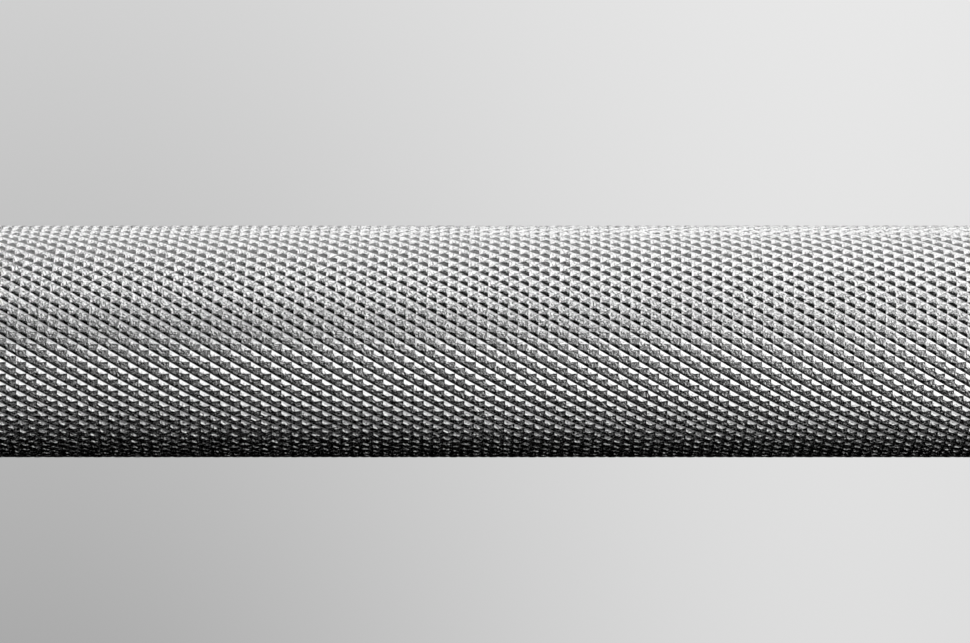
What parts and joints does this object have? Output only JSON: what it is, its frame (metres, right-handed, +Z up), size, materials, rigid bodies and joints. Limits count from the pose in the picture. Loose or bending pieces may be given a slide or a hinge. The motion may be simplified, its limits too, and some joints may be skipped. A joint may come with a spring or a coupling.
{
  "type": "olympic barbell",
  "caption": "Long knurled steel bar with a free-turning plate sleeve on needle rollers behind a flange at each end.",
  "frame": {"origin": "the bar's middle, on its axis", "axes": "+X along the bar towards the right-hand sleeve's end, +Z up, +Y away from the camera"},
  "size_m": [2.2, 0.075, 0.075],
  "materials": {
    "shaft_steel": "bare spring steel, ground and diamond knurled",
    "sleeve_steel": "hard chrome over fine turning marks",
    "flange_steel": "hard chrome over turned steel",
    "bronze": "oiled bearing bronze, turned",
    "hardened_steel": "hardened and ground",
    "spring_steel": "phosphated spring steel, oiled",
    "bearing_steel": "case-hardened and polished, oiled",
    "cage_steel": "pressed steel, oiled",
    "black_aluminium": "turned and black anodised",
    "seal_rubber": "nitrile rubber, matt"
  },
  "bodies": {
    "shaft": {"shaft": "shaft_steel", "left_backing_washer": "hardened_steel", "left_shaft_retaining_ring": "spring_steel", "right_backing_washer": "hardened_steel", "right_shaft_retaining_ring": "spring_steel"},
    "left_sleeve": {"left_sleeve_tube": "sleeve_steel", "left_flange": "flange_steel", "left_dust_seal": "seal_rubber", "left_inner_thrust_washer": "bronze", "left_outer_thrust_washer": "bronze", "left_end_cap": "black_aluminium", "left_end_cap_o_ring": "seal_rubber", "left_end_cap_retaining_ring": "spring_steel", "left_bearing_cup_1": "bearing_steel", "left_bearing_cup_2": "bearing_steel", "left_bearing_cup_3": "bearing_steel", "left_bearing_cup_4": "bearing_steel"},
    "left_cage_1": {"left_roller_cage_1": "cage_steel", "left_needle_rollers_1": "bearing_steel"},
    "left_cage_2": {"left_roller_cage_2": "cage_steel", "left_needle_rollers_2": "bearing_steel"},
    "left_cage_3": {"left_roller_cage_3": "cage_steel", "left_needle_rollers_3": "bearing_steel"},
    "left_cage_4": {"left_roller_cage_4": "cage_steel", "left_needle_rollers_4": "bearing_steel"},
    "right_sleeve": {"right_sleeve_tube": "sleeve_steel", "right_flange": "flange_steel", "right_dust_seal": "seal_rubber", "right_inner_thrust_washer": "bronze", "right_outer_thrust_washer": "bronze", "right_end_cap": "black_aluminium", "right_end_cap_o_ring": "seal_rubber", "right_end_cap_retaining_ring": "spring_steel", "right_bearing_cup_1": "bearing_steel", "right_bearing_cup_2": "bearing_steel", "right_bearing_cup_3": "bearing_steel", "right_bearing_cup_4": "bearing_steel"},
    "right_cage_1": {"right_roller_cage_1": "cage_steel", "right_needle_rollers_1": "bearing_steel"},
    "right_cage_2": {"right_roller_cage_2": "cage_steel", "right_needle_rollers_2": "bearing_steel"},
    "right_cage_3": {"right_roller_cage_3": "cage_steel", "right_needle_rollers_3": "bearing_steel"},
    "right_cage_4": {"right_roller_cage_4": "cage_steel", "right_needle_rollers_4": "bearing_steel"}
  },
  "joints": [
    {"name": "left_sleeve_spin", "type": "hinge", "parent": "shaft", "child": "left_sleeve", "pos_m": [-0.87, 0, 0], "axis": [1, 0, 0], "continuous": true},
    {"name": "right_sleeve_spin", "type": "hinge", "parent": "shaft", "child": "right_sleeve", "pos_m": [0.87, 0, 0], "axis": [1, 0, 0], "continuous": true},
    {"name": "left_cage_1_spin", "type": "hinge", "parent": "shaft", "child": "left_cage_1", "pos_m": [-0.67504, 0, 0], "axis": [1, 0, 0], "continuous": true},
    {"name": "left_cage_2_spin", "type": "hinge", "parent": "shaft", "child": "left_cage_2", "pos_m": [-0.69804, 0, 0], "axis": [1, 0, 0], "continuous": true},
    {"name": "left_cage_3_spin", "type": "hinge", "parent": "shaft", "child": "left_cage_3", "pos_m": [-1.03848, 0, 0], "axis": [1, 0, 0], "continuous": true},
    {"name": "left_cage_4_spin", "type": "hinge", "parent": "shaft", "child": "left_cage_4", "pos_m": [-1.06148, 0, 0], "axis": [1, 0, 0], "continuous": true},
    {"name": "right_cage_1_spin", "type": "hinge", "parent": "shaft", "child": "right_cage_1", "pos_m": [0.67504, 0, 0], "axis": [1, 0, 0], "continuous": true},
    {"name": "right_cage_2_spin", "type": "hinge", "parent": "shaft", "child": "right_cage_2", "pos_m": [0.69804, 0, 0], "axis": [1, 0, 0], "continuous": true},
    {"name": "right_cage_3_spin", "type": "hinge", "parent": "shaft", "child": "right_cage_3", "pos_m": [1.03848, 0, 0], "axis": [1, 0, 0], "continuous": true},
    {"name": "right_cage_4_spin", "type": "hinge", "parent": "shaft", "child": "right_cage_4", "pos_m": [1.06148, 0, 0], "axis": [1, 0, 0], "continuous": true}
  ],
  "couplings": [
    {"joint": "left_cage_1_spin", "follows": "left_sleeve_spin", "ratio": 0.5461},
    {"joint": "left_cage_2_spin", "follows": "left_sleeve_spin", "ratio": 0.5461},
    {"joint": "left_cage_3_spin", "follows": "left_sleeve_spin", "ratio": 0.5461},
    {"joint": "left_cage_4_spin", "follows": "left_sleeve_spin", "ratio": 0.5461},
    {"joint": "right_cage_1_spin", "follows": "right_sleeve_spin", "ratio": 0.5461},
    {"joint": "right_cage_2_spin", "follows": "right_sleeve_spin", "ratio": 0.5461},
    {"joint": "right_cage_3_spin", "follows": "right_sleeve_spin", "ratio": 0.5461},
    {"joint": "right_cage_4_spin", "follows": "right_sleeve_spin", "ratio": 0.5461}
  ]
}
